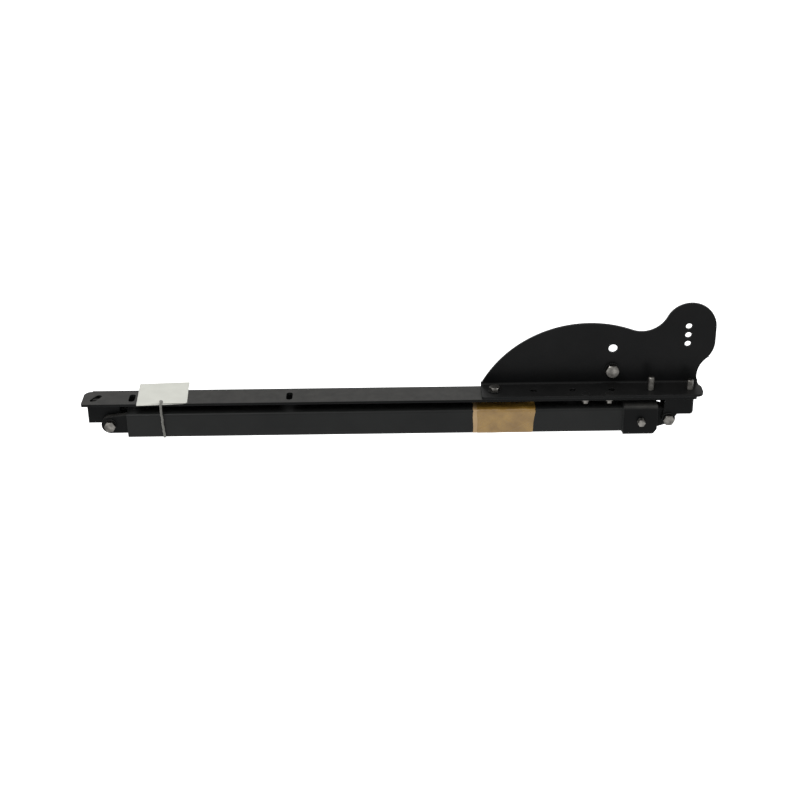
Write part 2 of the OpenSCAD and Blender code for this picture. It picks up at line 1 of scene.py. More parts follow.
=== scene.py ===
# %% [markdown]
# # A folding gate opener arm, finished in Blender
# The frame of this lesson is a packed steel model: a bent crank plate on a long
# upper arm, an elbow, a square lower arm with a sliding extension, and a gate
# bracket. Its sizes are settled, so here we only add what a drawing leaves out:
# powder coat, zinc, screw threads, weld beads, a paper wrap and a card tag on a
# string. Everything new is a surface worked out with numpy, so each shape can
# be read as a formula.

# %% Load the frame
import json
import math

import bmesh
import bpy
import numpy as np
from mathutils import Matrix, Vector


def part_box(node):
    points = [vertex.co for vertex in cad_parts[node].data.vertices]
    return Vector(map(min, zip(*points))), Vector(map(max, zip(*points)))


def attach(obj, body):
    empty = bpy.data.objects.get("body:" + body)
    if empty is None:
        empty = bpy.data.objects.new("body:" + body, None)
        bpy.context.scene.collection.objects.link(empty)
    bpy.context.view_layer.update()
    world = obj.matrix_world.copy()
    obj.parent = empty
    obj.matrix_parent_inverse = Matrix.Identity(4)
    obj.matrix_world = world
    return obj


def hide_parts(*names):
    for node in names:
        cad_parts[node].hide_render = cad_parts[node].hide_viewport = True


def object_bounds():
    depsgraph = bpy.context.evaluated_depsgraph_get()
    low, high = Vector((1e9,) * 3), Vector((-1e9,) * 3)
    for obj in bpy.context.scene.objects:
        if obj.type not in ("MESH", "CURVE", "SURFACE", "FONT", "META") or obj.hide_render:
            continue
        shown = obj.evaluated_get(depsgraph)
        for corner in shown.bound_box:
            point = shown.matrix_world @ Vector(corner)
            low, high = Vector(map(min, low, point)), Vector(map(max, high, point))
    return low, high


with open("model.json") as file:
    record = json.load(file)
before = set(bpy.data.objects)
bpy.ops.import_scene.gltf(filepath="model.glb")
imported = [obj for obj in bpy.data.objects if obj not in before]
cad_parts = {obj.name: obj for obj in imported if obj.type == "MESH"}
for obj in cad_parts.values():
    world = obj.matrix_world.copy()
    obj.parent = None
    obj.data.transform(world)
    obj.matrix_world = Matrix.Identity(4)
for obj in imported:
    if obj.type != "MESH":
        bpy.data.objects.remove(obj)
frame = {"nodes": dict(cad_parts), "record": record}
cad_low, cad_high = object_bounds()
MM = 0.001  # every length below is in metres
ROOT = "crank_and_upper_arm"
LOWER = "lower_arm"
BRACKET = "gate_bracket"
print("frame", len(frame["nodes"]), "nodes, box", cad_high - cad_low)

# %% [markdown]
# ## Where things are
# A piece is placed from the boxes of the nodes it touches, never by eye. A box
# gives a node's lowest and highest corner at rest, in metres, and the middle of
# a bolt's box lies on the bolt's own axis.

# %% Read the boxes of the nodes that the new pieces touch


def box(node):
    """Lowest and highest corner of a node, as two arrays."""
    low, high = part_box(node)
    return np.array(low), np.array(high)


def middle(node):
    """Centre of a node's box."""
    low, high = box(node)
    return (low + high) / 2


arm_low, arm_high = box("upper_arm")
tube_low, tube_high = box("lower_tube")
collar_low = box("clamp_collar")[0]
tag_low, tag_high = box("hang_tag")
wrap_low, wrap_high = box("paper_wrap")
tube_mid = middle("lower_tube")
STEEL_T = 5 * MM  # thickness of the arm and of the crank plate
arm_under = arm_high[2] - STEEL_T
print("arm", arm_high[0] - arm_low[0], "long; tube middle", tube_mid)

# %% [markdown]
# ## Camera
# The object is seen from the front and a little above, through a longish lens
# about three metres away, so its far end is hardly smaller than its near end.
# A camera can be tracked to an empty by a constraint. Here its matrix is built
# from an aim, an elevation and a distance, so that each can be changed alone.
# It is turned a fraction about its own axis, which makes the long edges rise
# gently to the right.

# %% Set up the camera
ELEVATION = math.radians(27)
DISTANCE = 3.0
ROLL = math.radians(-0.75)
LENS = 71
aim = Vector((tube_mid[0] + 17 * MM, tube_mid[1], arm_under - 5 * MM))
back = Vector((0, -math.cos(ELEVATION), math.sin(ELEVATION)))
camera = bpy.data.objects.new("camera", bpy.data.cameras.new("camera"))
bpy.context.collection.objects.link(camera)
camera.data.lens = LENS
camera.data.sensor_width = 36
camera.data.clip_end = 60
turn = (-back).to_track_quat("-Z", "Y").to_matrix().to_4x4()
camera.matrix_world = Matrix.Translation(aim + back * DISTANCE) @ turn @ Matrix.Rotation(ROLL, 4, "Z")
bpy.context.scene.camera = camera
print("camera at", tuple(round(v, 3) for v in camera.location))

# %% [markdown]
# ## From numbers to a mesh
# Every new piece starts as a grid of points: an array with one row for each
# step along the piece and one column for each step round or across it. Small
# pieces could be modelled by hand or by bmesh operators, but a grid keeps each
# shape a formula that numpy works out at once. This helper joins neighbouring
# points with four-cornered faces. Where a surface is closed round itself, the
# last column joins the first, and round ends are shut with a fan of triangles
# so that no hole is left.

# %% Turn a grid of points into an object


def grid_faces(rows, cols, wrap):
    """Corner numbers of every face in a grid of rows by cols points.
    Face (i, j) joins points (i, j), (i, j+1), (i+1, j+1) and (i+1, j)."""
    i, j = np.meshgrid(np.arange(rows - 1), np.arange(cols if wrap else cols - 1), indexing="ij")
    right = (j + 1) % cols
    quads = [i * cols + j, i * cols + right, (i + 1) * cols + right, (i + 1) * cols + j]
    return np.stack(quads, -1).reshape(-1, 4)


def surface(name, points, body, wrap=False, caps=False):
    """Makes an object from a (rows, cols, 3) array of points in metres, and
    lets it ride on a body. wrap joins the last column to the first. caps adds
    a centre point at each end and a fan of triangles round it."""
    rows, cols = points.shape[:2]
    verts = points.reshape(-1, 3)
    faces = grid_faces(rows, cols, wrap).tolist()
    if caps:
        ends = np.array([points[0].mean(0), points[-1].mean(0)])
        verts = np.vstack([verts, ends])
        n, last = rows * cols, (rows - 1) * cols
        ring = np.arange(cols)
        after = (ring + 1) % cols
        faces += np.stack([after, ring, np.full(cols, n)], -1).tolist()
        faces += np.stack([last + ring, last + after, np.full(cols, n + 1)], -1).tolist()
    mesh = bpy.data.meshes.new(name)
    mesh.from_pydata(verts.tolist(), [], faces)
    mesh.update()
    mesh.shade_smooth()
    piece = bpy.data.objects.new(name, mesh)
    bpy.context.collection.objects.link(piece)
    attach(piece, body)
    return piece


TOUCH = 0.001 * MM  # points nearer than this are one point


def outward(piece):
    """Joins points that lie on each other and turns the faces outwards."""
    work = bmesh.new()
    work.from_mesh(piece.data)
    bmesh.ops.remove_doubles(work, verts=work.verts, dist=TOUCH)
    bmesh.ops.recalc_face_normals(work, faces=work.faces)
    work.to_mesh(piece.data)
    work.free()
    return piece


def thicken(piece, sheet, thickness):
    """Gives a sheet its thickness, inwards from the surface that was drawn."""
    solidify = piece.modifiers.new(sheet, "SOLIDIFY")
    solidify.thickness = thickness
    solidify.offset = -1
    return piece


print("a 3 by 4 grid has", len(grid_faces(3, 4, False)), "faces")

# %% [markdown]
# ## Carrying a profile along a path
# Twine and weld beads are a small outline carried along a line. A curve object
# with a bevel can do the same, with a radius and a tilt at each of its points.
# Here they change hundreds of times along the way, so numpy works out the whole
# tube at once. At each point of the line we need two directions square to it.
# One starts from a fixed guide direction with the part along the line taken
# away, and the other is square to both, so the outline never twists by itself.

# %% Sweep an outline along a path


def sweep(path, radius, guide, around, twist=None):
    """Points on a tube round a path.
    Point (i, j) is path[i] + radius[i, j] * (cos a * side + sin a * up), where
    a is the turn around the path and side and up are square to the path."""
    way = np.gradient(path, axis=0)
    way /= np.linalg.norm(way, axis=1, keepdims=True)
    side = guide - (way @ guide)[:, None] * way
    side /= np.linalg.norm(side, axis=1, keepdims=True)
    up = np.cross(way, side)
    a = np.linspace(0, 2 * np.pi, around, endpoint=False)
    a = a[None, :] + (0 if twist is None else twist[:, None])
    r = np.broadcast_to(radius, (len(path), around))[..., None]
    out = np.cos(a)[..., None] * side[:, None] + np.sin(a)[..., None] * up[:, None]
    return path[:, None] + r * out


def smooth_path(points, step):
    """Points evenly spaced by step along a smooth curve through the given
    points. Each stretch is the cubic that leaves and meets its ends in the
    direction of the neighbouring points."""
    p = np.vstack([2 * points[0] - points[1], points, 2 * points[-1] - points[-2]])
    t = np.linspace(0, 1, 24, endpoint=False)[:, None, None]
    a, b, c, d = p[:-3], p[1:-2], p[2:-1], p[3:]
    straight = 2 * b + (c - a) * t
    bent = (2 * a - 5 * b + 4 * c - d) * t**2 + (3 * b - a - 3 * c + d) * t**3
    curve = 0.5 * (straight + bent)
    curve = np.vstack([curve.transpose(1, 0, 2).reshape(-1, 3), points[-1]])
    run = np.concatenate([[0], np.cumsum(np.linalg.norm(np.diff(curve, axis=0), axis=1))])
    even = np.linspace(0, run[-1], max(2, int(run[-1] / step)))
    return np.stack([np.interp(even, run, curve[:, k]) for k in range(3)], -1), run[-1]


print("a straight line has", smooth_path(np.eye(3)[:2], 0.1)[0].shape[0], "points")

# %% [markdown]
# ## The tag's string
# Twine is three strands twisted together. Three separate tubes could be wound
# round each other, but they would cut into each other where they meet. One tube
# is enough: its outline bulges three times round, and the bulges turn steadily
# as they travel along, which is all that the eye needs to read a twist. The
# route runs over the tag's front edge and hangs down in front of the lower arm
# under its own weight.

# %% Make the string
STRING_D = 4.5 * MM
STRAND_LAY = 21 * MM  # the string's length in one full turn of its strands
STRING_SIDES = 24
route = np.array([
    [-997, -52, -99.8], [-997, -55, -99.7], [-997, -57, -99.7], [-997, -58.3, -100],
    [-997, -59.3, -100.7], [-997, -60, -101.7], [-997, -60.3, -103], [-997, -60.5, -106],
    [-997, -60.8, -110], [-997, -61, -116], [-997, -61, -123], [-996, -61, -130],
    [-996, -61, -137], [-996, -61, -144], [-995, -61, -151], [-995, -61, -158],
    [-994, -61, -165], [-994, -61, -171],
]) * MM
string_path, string_length = smooth_path(route, 0.35 * MM)
run = np.linspace(0, string_length, len(string_path))
strand_turn = run / STRAND_LAY * 2 * np.pi
around = np.linspace(0, 2 * np.pi, STRING_SIDES, endpoint=False)
strand = STRING_D / 2 * (0.80 + 0.20 * np.abs(np.cos(1.5 * around)))
twisted = sweep(string_path, strand[None, :], np.array([1.0, 0, 0]), STRING_SIDES, strand_turn)
string = outward(surface("tag_twine", twisted, ROOT, wrap=True, caps=True))
print("string", round(string_length, 4), "m long")

# %% [markdown]
# ## The knot on the tag
# The string is tied to the tag with a small tight knot. A real hitch could be
# traced point by point, but at this size only a lump with crossing turns is
# seen. So it is one closed line that weaves over and under itself, with a round
# outline.

# %% Tie the string to the tag


def knot(name, centre, size, body):
    """A tight knot: one closed line that goes twice round its centre.
    Its radius is size * (1 + 0.42 * cos(3a / 2)) and its depth is
    0.62 * size * sin(3a / 2), so each round passes over and under the other."""
    a = np.linspace(0, 4 * np.pi, 160, endpoint=False)
    r = size * (1 + 0.42 * np.cos(1.5 * a))
    line = np.stack([r * np.cos(a), size * 0.62 * np.sin(1.5 * a), r * np.sin(a)], -1) + centre
    closed = np.vstack([line[-1:], line, line[:1]])
    way = closed[2:] - closed[:-2]
    way /= np.linalg.norm(way, axis=1, keepdims=True)
    out = line - centre
    side = out - (out * way).sum(1, keepdims=True) * way
    side /= np.linalg.norm(side, axis=1, keepdims=True)
    up = np.cross(way, side)
    b = np.linspace(0, 2 * np.pi, 12, endpoint=False)
    b = b[None, :, None]
    points = line[:, None] + STRING_D * 0.42 * (np.cos(b) * side[:, None] + np.sin(b) * up[:, None])
    return outward(surface(name, np.vstack([points, points[:1]]), body, wrap=True))


knot_at = route[0] + np.array([0, 0.8, -0.7]) * MM
tag_knot = knot("tag_knot", knot_at, 1.2 * MM, ROOT)
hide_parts("tag_string")
print("knot at the tag")

# %% [markdown]
# ## The card tag
# The tag is one sheet of card folded once, so it shows two leaves that don't
# quite line up. It lies on the arm, overhangs it behind, and bends down a little
# over the arm's front edge. Cloth simulation could bend it, but card is stiff
# and its bend is known. So each leaf is a flat grid whose height falls with the
# square of the distance past the edge it hangs over, and Solidify gives it the
# thickness of card.

# %% Make the two leaves of the tag
LEAF_W, LEAF_D = 95 * MM, 91 * MM
CARD_T = 0.35 * MM


def leaf(name, turn_by, lift, droop, narrow):
    """One leaf of card. Width runs along the arm and depth across it.
    Height = lift - droop * (depth past the arm's front edge)^2 / 10 mm, less
    a far weaker bend of the same kind behind the arm, plus a slow wave."""
    u, v = np.meshgrid(np.linspace(-0.5, 0.5, 60), np.linspace(-0.5, 0.5, 60))
    x, y = u * LEAF_W * narrow, v * LEAF_D
    front = np.clip(-0.5 * LEAF_D + 7 * MM - y, 0, None)
    behind = np.clip(y - (0.5 * LEAF_D - 36 * MM), 0, None)
    wave = 0.25 * MM * np.sin(7 * u + 3 * v) * np.abs(u)
    z = lift - droop * front**2 / (10 * MM) - 0.9 * behind**2 + wave
    c, s = math.cos(turn_by), math.sin(turn_by)
    centre = (tag_low + tag_high) / 2
    bed = tag_high[2] - 0.4 * MM
    points = np.stack([centre[0] + c * x - s * y, centre[1] + s * x + c * y, bed + z], -1)
    return thicken(surface(name, points, ROOT), "card", CARD_T)


upper_leaf = leaf("tag_upper_leaf", math.radians(3.5), lift=0.45 * MM, droop=0.45, narrow=1.0)
leaf("tag_lower_leaf", math.radians(1.9), lift=0.0, droop=0.2, narrow=0.985)
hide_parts("hang_tag")
print("tag", tag_high - tag_low)

# %% [markdown]
# ## The paper wrap
# Brown paper tape is wound round the lower tube in two bands that overlap. Its
# outline is the tube's: a square with rounded corners. A shrinkwrap would pull
# a sheet onto the tube and lose its creases. Instead we walk round the outline
# with a formula that also gives the outward direction at every point, and push
# the surface out along it.

# %% Walk round a rounded square


def rounded_square(side, corner, count):
    """Points and outward directions round a square with round corners.
    Each quarter is one straight side and then a quarter circle."""
    flat = side / 2 - corner
    n = count // 8
    straight = np.linspace(-flat, flat, n, endpoint=False)
    bend = np.linspace(0, np.pi / 2, n, endpoint=False)
    edge = np.concatenate([
        np.stack([np.full(n, side / 2), straight], -1),
        np.stack([flat + corner * np.cos(bend), flat + corner * np.sin(bend)], -1)])
    out = np.concatenate([np.tile([1.0, 0.0], (n, 1)), np.stack([np.cos(bend), np.sin(bend)], -1)])
    turns = np.arange(4) * np.pi / 2
    quarters = [np.array([[math.cos(k), math.sin(k)], [-math.sin(k), math.cos(k)]]) for k in turns]
    return np.vstack([edge @ q for q in quarters]), np.vstack([out @ q for q in quarters])


TUBE_CORNER = 5 * MM
tube_side = tube_high[2] - tube_low[2]
outline, outline_out = rounded_square(tube_side, TUBE_CORNER, 320)
print("outline of", len(outline), "points")

# %% [markdown]
# ## Creases in the tape
# Hand-wound tape has two kinds of crease: sharp ones that slope with the winding
# and softer folds that slope against it. Displacing the surface by a noise would
# make it lumpy all over instead. A narrow bell curve of the distance to a
# sloping line draws either kind as a ridge, and a slow sine makes the ridge come
# and go. No crease is taller than a third of a millimetre.

# %% Wind the two bands of tape
TAPE_T = 0.18 * MM


def band(name, x0, x1, proud, phase, slant):
    """A band of tape from x0 to x1. Its height over the tube is proud, plus
    creases: ridges along lines that slope across the band, and a soft swell.
    Its right edge leans by slant from the tube's top to its foot."""
    x = np.linspace(x0, x1, 140)[:, None]
    s = np.linspace(0, 1, len(outline), endpoint=False)[None, :]
    rel = (x - x0) / (x1 - x0)
    sharp = np.exp(-(((rel * 1.7 + s * 9 + phase) % 1 - 0.5) / 0.05) ** 2)
    soft = np.exp(-(((rel * 0.9 - s * 5 + 2 * phase) % 1 - 0.5) / 0.04) ** 2)
    crease = sharp * np.sin(5 * rel + phase + 9 * s) ** 2
    fold = soft * np.cos(4 * rel + 7 * s) ** 2
    swell = 0.5 + 0.5 * np.sin(2 * np.pi * (3 * s + 1.3 * rel + phase))
    lift = proud + 0.30 * MM * crease + 0.26 * MM * fold + 0.15 * MM * swell
    lift = lift * np.clip(np.minimum(rel, 1 - rel) / 0.012, 0.35, 1)
    ragged = 0.5 * MM * np.sin(2 * np.pi * 7 * s + phase) * (1 - 2 * rel)
    yz = outline[None] + lift[..., None] * outline_out[None]
    lean = -slant * rel * (0.5 - yz[..., 1] / tube_side)
    points = np.stack([x + ragged + lean, tube_mid[1] + yz[..., 0], tube_mid[2] + yz[..., 1]], -1)
    piece = surface(name, points, LOWER, wrap=True)
    return outward(thicken(piece, "paper", TAPE_T))


lap = wrap_low[0] + 0.62 * (wrap_high[0] - wrap_low[0])
strip = wrap_low[0] + 7 * MM  # the lower band shows as a strip up to here
band("paper_band_left", wrap_low[0], lap, proud=0.25 * MM, phase=0.3, slant=0)
upper_band = band("paper_band_right", strip, wrap_high[0], proud=0.55 * MM, phase=1.9, slant=5 * MM)
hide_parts("paper_wrap")
print("wrap", round(wrap_high[0] - wrap_low[0], 3), "m wide")

# %% [markdown]
# ## Screw threads
# A thread is a shallow groove that climbs as it goes round. The Screw modifier
# can wind one from a flat outline, but leaves open ends. On a cylinder we only
# have to let the radius rise and fall with height minus turn: each full turn
# shifts the wave by one pitch. The sleeve sits on the plain shank of the packed
# bolt, is closed at both ends and covers the length that shows.

# %% Cut a thread
M8 = (4 * MM, 1.25 * MM)  # radius and pitch of each metric thread
M12 = (6 * MM, 1.75 * MM)
M16 = (8 * MM, 2 * MM)


def thread(name, start, way, length, size, body):
    """A threaded sleeve from start along way.
    Radius = plain radius + depth * triangle wave of (height / pitch - turn),
    and it shrinks to the core over the last pitch."""
    radius, pitch = size
    way = np.array(way, float)
    guide = np.array([0.0, 0, 1]) if abs(way[2]) < 0.5 else np.array([1.0, 0, 0])
    up = np.cross(way, guide)
    h = np.linspace(0, length, max(8, int(length / pitch * 10)))[:, None]
    a = np.linspace(0, 2 * np.pi, 48, endpoint=False)[None, :]
    wave = 1 - 2 * np.abs((h / pitch - a / (2 * np.pi)) % 1 - 0.5)
    depth = 0.42 * pitch
    r = radius + 0.06 * MM + depth * 0.45 * wave * np.clip((length - h) / pitch, 0, 1)
    centre = np.array(start)[None, None] + h[..., None] * way
    points = centre + r[..., None] * (np.cos(a)[..., None] * guide + np.sin(a)[..., None] * up)
    return outward(surface(name, points, body, wrap=True, caps=True))


print("an M12 thread has", round(1 / M12[1]), "turns in a metre")

# %% [markdown]
# ## Where threads show
# The two studs are threaded all the way up from the flange. Of a bolt, only the
# last few millimetres past its nut show, and of each countersunk screw the tip
# under its nut. Each sleeve starts from a box, on the bolt's own axis.

# %% Cut the threads that show
PAST_NUT = 3 * MM
SLEEVE = 3.1 * MM
STUD_CHAMFER = 1 * MM


def bolt_end(node):
    """The point PAST_NUT inside a bolt's rear end, on the bolt's axis."""
    point = middle(node)
    point[1] = box(node)[1][1] - PAST_NUT
    return point


row_top = box("crank_plate")[0][2] + STEEL_T
for name, node in (("short_stud_thread", "short_stud"), ("stud_thread", "cover_stud")):
    foot = np.array([*middle(node)[:2], row_top])
    thread(name, foot, (0, 0, 1), box(node)[1][2] - row_top - STUD_CHAMFER, M12, ROOT)
thread("elbow_bolt_thread", bolt_end("elbow_bolt"), (0, 1, 0), SLEEVE, M12, LOWER)
thread("gate_bolt_thread", bolt_end("gate_bolt"), (0, 1, 0), SLEEVE, M12, BRACKET)
thread("hub_bolt_thread", bolt_end("hub_bolt"), (0, 1, 0), SLEEVE, M16, ROOT)
clamp_point = middle("clamp_screw")
clamp_point[1] = box("clamp_nut")[0][1] - 2 * MM
thread("clamp_screw_thread", clamp_point, (0, 1, 0), 2.2 * MM, M8, LOWER)
csk_low, csk_high = box("countersunk_screws")
nut_low, nut_high = box("countersunk_nuts")
head_r = (csk_high[1] - csk_low[1]) / 2
tip = nut_low[2] - csk_low[2] + 0.2 * MM
for k, x in enumerate((csk_low[0] + head_r, csk_high[0] - head_r)):
    start = np.array([x, (nut_low[1] + nut_high[1]) / 2, nut_low[2] + 0.1 * MM])
    thread(f"countersunk_thread_{k + 1}", start, (0, 0, -1), tip, M8, ROOT)

# %% [markdown]
# ## Locking rings in the nuts
# The pivot nuts are the locking kind, with a ring of nylon pressed in behind the
# hexagon so that the pivots can't shake loose. A bevelled cylinder with a hole
# would do, but takes a boolean. Turning a short closed outline round the bolt's
# axis gives the dome and the bore at once.

# %% Press a nylon ring into each pivot nut


def lock_ring(name, nut, bolt_r, body):
    """A domed ring round a bolt, on the rear face of its nut.
    The outline (r, y) runs up the outside, over a quarter circle to the bolt
    and back down the bore. Each point is turned: r * cos a, y, r * sin a."""
    low, high = box(nut)
    centre = (low + high) / 2
    outer = (high[2] - low[2]) / 2 * 0.86
    foot, rise, dome = -1.0 * MM, 0.6 * MM, 1.2 * MM
    a = np.linspace(0, 2 * np.pi, 64, endpoint=False)[None, :]
    b = np.linspace(0, np.pi / 2, 8)
    r = np.concatenate([[outer, outer], outer - dome + dome * np.cos(b), [bolt_r, bolt_r, outer]])[:, None]
    y = np.concatenate([[foot, rise], rise + dome * np.sin(b), [rise + dome, foot, foot]])[:, None]
    points = np.stack([centre[0] + r * np.cos(a), high[1] + y + 0 * a, centre[2] + r * np.sin(a)], -1)
    return outward(surface(name, points, body, wrap=True))


ring_bore = M12[0] + 0.1 * MM
lock_ring("elbow_lock_ring", "elbow_nut", ring_bore, LOWER)
lock_ring("gate_lock_ring", "gate_nut", ring_bore, BRACKET)
print("ring bore", round(ring_bore / MM, 2), "mm")

# %% [markdown]
# ## Weld beads
# The elbow lug is welded to the arm, and the collar to the tube. Ripples could
# be a bump in the paint, but the bead stands proud and catches light on its
# edge, so it is a real shape: a small round profile carried along the joint,
# whose radius swells and sinks every couple of millimetres, where the welder's
# pool froze ring by ring.

# %% Lay the beads
RIPPLE = 2.4 * MM


def bead(name, path, radius, guide, body, closed=False):
    """A rippled bead along a path. Its radius is radius * (0.94 + 0.12 * |sin|)
    of the distance run, with a whole number of ripples from end to end. An
    open bead sinks at its ends with the square root of the distance to them."""
    steps = np.linalg.norm(np.diff(path, axis=0), axis=1)
    run = np.concatenate([[0], np.cumsum(steps)])
    ripples = round(run[-1] / RIPPLE)
    r = radius * (0.94 + 0.12 * np.abs(np.sin(np.pi * ripples * run / run[-1])))
    if not closed:
        r = r * np.sqrt(np.clip(np.minimum(run, run[-1] - run) / radius, 0.02, 1))
    points = sweep(path, r[:, None], guide, 14)
    return outward(surface(name, points, body, wrap=True, caps=not closed))


lug_low, lug_high = box("elbow_lug")
along = np.linspace(lug_low[0] + 2 * MM, lug_high[0] - 2 * MM, 180)
for k, y in enumerate((lug_low[1], lug_high[1])):
    seam = np.stack([along, np.full_like(along, y), np.full_like(along, arm_under)], -1)
    bead(f"lug_weld_{k + 1}", seam, 2.6 * MM, np.array([0, 0, 1.0]), ROOT)
loop, _ = rounded_square(tube_side + 0.6 * MM, TUBE_CORNER + 0.3 * MM, 480)
loop = np.roll(loop, -30, axis=0)  # start half-way along a straight side
loop = np.vstack([loop, loop[:1]])
ring = np.stack([np.full(len(loop), collar_low[0]), tube_mid[1] + loop[:, 0], tube_mid[2] + loop[:, 1]], -1)
bead("collar_weld", ring, 2.2 * MM, np.array([1.0, 0, 0]), LOWER, closed=True)

# %% [markdown]
# ## Building materials
# A finish is a small graph of nodes. It could be wired by hand in the shader
# editor, but a short class lets each finish be read as a few lines. Most of
# ours share a beginning: noise read in Object coordinates, which are metres on
# the object itself, so that a grain keeps its real size on every piece and
# stays put from every side.

# %% Helpers for the node graphs


class Finish:
    """A material under construction, with its main shader."""

    def __init__(self, name):
        self.mat = bpy.data.materials.new(name)
        self.mat.use_nodes = True
        self.tree = self.mat.node_tree
        self.shader = self.tree.nodes["Principled BSDF"]
        place = self.add("ShaderNodeTexCoord")
        self.coord = place.outputs["Object"]
        self.object_normal = place.outputs["Normal"]

    def add(self, kind, **values):
        """Adds a node, sets its properties and its inputs' own values."""
        node = self.tree.nodes.new(kind)
        for key, value in values.items():
            if hasattr(node, key):
                setattr(node, key, value)
            else:
                node.inputs[key.title()].default_value = value
        return node

    def link(self, source, target):
        """Joins a node's output to another node's input."""
        self.tree.links.new(source, target)

    def noise(self, scale, detail=4.0, rough=0.5, coord=None):
        """Noise from 0 to 1 with about scale lumps in each metre."""
        node = self.add("ShaderNodeTexNoise", scale=scale, detail=detail, roughness=rough)
        self.link(coord or self.coord, node.inputs["Vector"])
        return node.outputs["Fac"]

    def spread(self, value, low, high):
        """Stretches a value from the range 0.35 to 0.65 to low to high."""
        node = self.add("ShaderNodeMapRange")
        for k, number in enumerate((0.35, 0.65, low, high)):
            node.inputs[k + 1].default_value = number
        self.link(value, node.inputs[0])
        return node.outputs[0]

    def mix(self, factor, a, b):
        """Blends colour a into colour b. Each is a colour or a node's output."""
        node = self.add("ShaderNodeMix", data_type="RGBA")
        for socket, value in ((node.inputs[0], factor), (node.inputs[6], a), (node.inputs[7], b)):
            if isinstance(value, (int, float)):
                socket.default_value = value
            elif isinstance(value, tuple):
                socket.default_value = (*value, 1)
            else:
                self.link(value, socket)
        return node.outputs[2]

    def bump(self, height, strength, distance, normal=None):
        """Turns a height into a tilted surface normal."""
        node = self.add("ShaderNodeBump", strength=strength, distance=distance)
        self.link(height, node.inputs["Height"])
        if normal is not None:
            self.link(normal, node.inputs["Normal"])
        return node.outputs["Normal"]

    def set(self, **values):
        """Sets or links the shader's own inputs."""
        names = {"colour": "Base Color", "rough": "Roughness", "metal": "Metallic", "normal": "Normal",
                 "specular": "Specular IOR Level", "coat": "Coat Weight", "coat_rough": "Coat Roughness",
                 "sheen": "Sheen Weight", "sub": "Subsurface Weight"}
        for key, value in values.items():
            socket = self.shader.inputs[names[key]]
            if isinstance(value, tuple):
                socket.default_value = (*value, 1)
            elif isinstance(value, (int, float)):
                socket.default_value = value
            else:
                self.link(value, socket)
        return self.mat


print("finish helper ready")

# %% [markdown]
# ## Black powder coat
# Powder coat is plastic baked on steel: black, satin, with a very fine orange
# peel from the powder flowing together. Corners are never sharp under it. The
# steel's mesh is fixed, so it can't be bevelled. A bevel node rounds the shading
# of each edge instead, and the same node tells us where the edges are, where
# handling has rubbed the coat a little lighter. Faces that look up are greyed
# unevenly by one mask that stands both for dust and for painted light: it paints
# the arm's flat top lighter than its front, as light from above would. The three
# coats differ in how much they shine.

# %% Make the powder coats
# pale grey for dust on upward faces and for painted light that lightens them
DUST_AND_LIGHT_GREY = (0.16, 0.155, 0.145)
RUBBED = (0.04, 0.041, 0.042)


def powder_coat(name, dark, light, shine, dust_and_painted_light, gloss):
    """Satin black coat. dark and light are the colours it drifts between,
    shine is the strength of its reflection, dust_and_painted_light the most
    dust and painted light laid on an upward face, and gloss the lowest roughness."""
    f = Finish(name)
    cloud = f.noise(9, 5, 0.6)
    grain = f.noise(55, 8, 0.7)
    base = f.mix(f.spread(cloud, 0, 1), dark, light)
    upward = f.add("ShaderNodeSeparateXYZ")
    f.link(f.object_normal, upward.inputs[0])
    # painted light and dust: upward faces are mixed toward the pale grey, which paints them lighter
    dust_and_light_mask = f.add("ShaderNodeMath", operation="MULTIPLY", use_clamp=True)
    f.link(upward.outputs["Z"], dust_and_light_mask.inputs[0])
    f.link(f.spread(grain, dust_and_painted_light * 0.6, dust_and_painted_light), dust_and_light_mask.inputs[1])
    base = f.mix(dust_and_light_mask.outputs[0], base, DUST_AND_LIGHT_GREY)
    edge = f.add("ShaderNodeBevel", samples=4, radius=1.1 * MM)
    flat = f.add("ShaderNodeNewGeometry")
    near = f.add("ShaderNodeVectorMath", operation="DOT_PRODUCT")
    f.link(edge.outputs[0], near.inputs[0])
    f.link(flat.outputs["Normal"], near.inputs[1])
    rub = f.add("ShaderNodeMapRange")
    for k, number in enumerate((0.995, 0.9, 0, 0.4)):
        rub.inputs[k + 1].default_value = number
    f.link(near.outputs["Value"], rub.inputs[0])
    base = f.mix(rub.outputs[0], base, RUBBED)
    peel = f.noise(650, 2, 0.4)
    wave = f.noise(120, 2, 0.4)
    normal = f.bump(wave, 0.05, 0.4 * MM, f.bump(peel, 0.10, 0.08 * MM, edge.outputs[0]))
    return f.set(colour=base, rough=f.spread(grain, gloss, gloss + 0.09), normal=normal, specular=shine)


plate_paint = powder_coat("black_plate_coat", (0.0028, 0.0029, 0.0030), (0.0042, 0.0043, 0.0044),
                          shine=0.070, dust_and_painted_light=0.02, gloss=0.30)
# the arm gets the most of this painted light and dust, so its flat top shows lighter than its front
arm_paint = powder_coat("black_arm_coat", (0.0026, 0.0028, 0.0028), (0.0040, 0.0043, 0.0044),
                        shine=0.050, dust_and_painted_light=0.17, gloss=0.33)
tube_paint = powder_coat("black_tube_coat", (0.0045, 0.0049, 0.0048), (0.0070, 0.0075, 0.0073),
                         shine=0.120, dust_and_painted_light=0.02, gloss=0.36)
print("coats", plate_paint.name, arm_paint.name, tube_paint.name)

# %% [markdown]
# ## Zinc plate, bronze and nylon
# Zinc plating is a dull, slightly warm metal with a cloudy crystal bloom. The
# bushes are oiled bronze, darker in the pores. One recipe serves both: the same
# noise moves colour and roughness together, as a film on metal does. The bloom
# is nearly as large as a small bolt head, because a finer one would look like
# sand from where we stand. Nylon is milky, so a little light travels inside it.

# %% Make the small metals and the nylon


